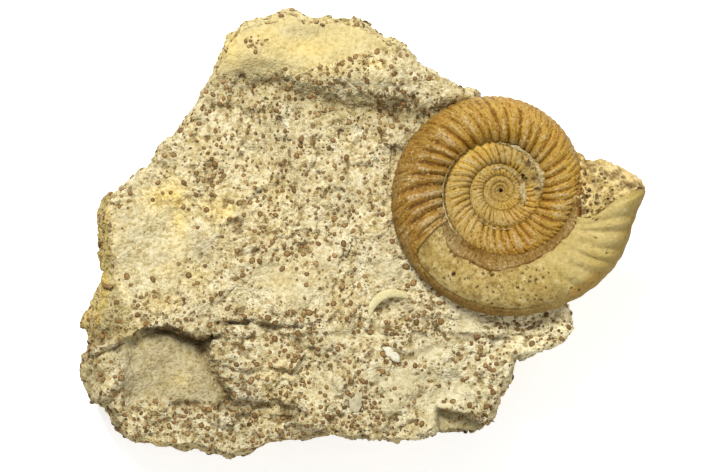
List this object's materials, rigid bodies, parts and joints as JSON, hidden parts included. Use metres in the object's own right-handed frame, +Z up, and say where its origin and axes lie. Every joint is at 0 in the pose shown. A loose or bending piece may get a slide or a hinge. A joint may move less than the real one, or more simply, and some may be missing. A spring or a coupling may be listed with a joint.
{
  "type": "ammonite fossil in limestone",
  "caption": "Ribbed, flat-coiled ammonite with its living chamber filled, standing out of a rough block of iron-oolite limestone that lies on a flat base.",
  "frame": {"origin": "centre of the specimen's bounding box, on the block's flat base", "axes": "+Z up out of the base, so the fossil looks up; +X along the specimen's length, towards the ammonite's mouth; +Y towards the raised shelf"},
  "size_m": [0.1255, 0.0992, 0.0386],
  "materials": {
    "limestone": "rough, broken",
    "iron_ooids": "satin grains in the limestone",
    "calcite_shell": "satin, worn",
    "sediment_mould": "fine-grained, matt",
    "pale_shell": "chalky, smooth"
  },
  "bodies": {
    "root": {"limestone_block": "limestone", "ammonite_shell": "calcite_shell", "body_chamber_mould": "sediment_mould", "bivalve_fragment": "pale_shell"}
  },
  "joints": []
}
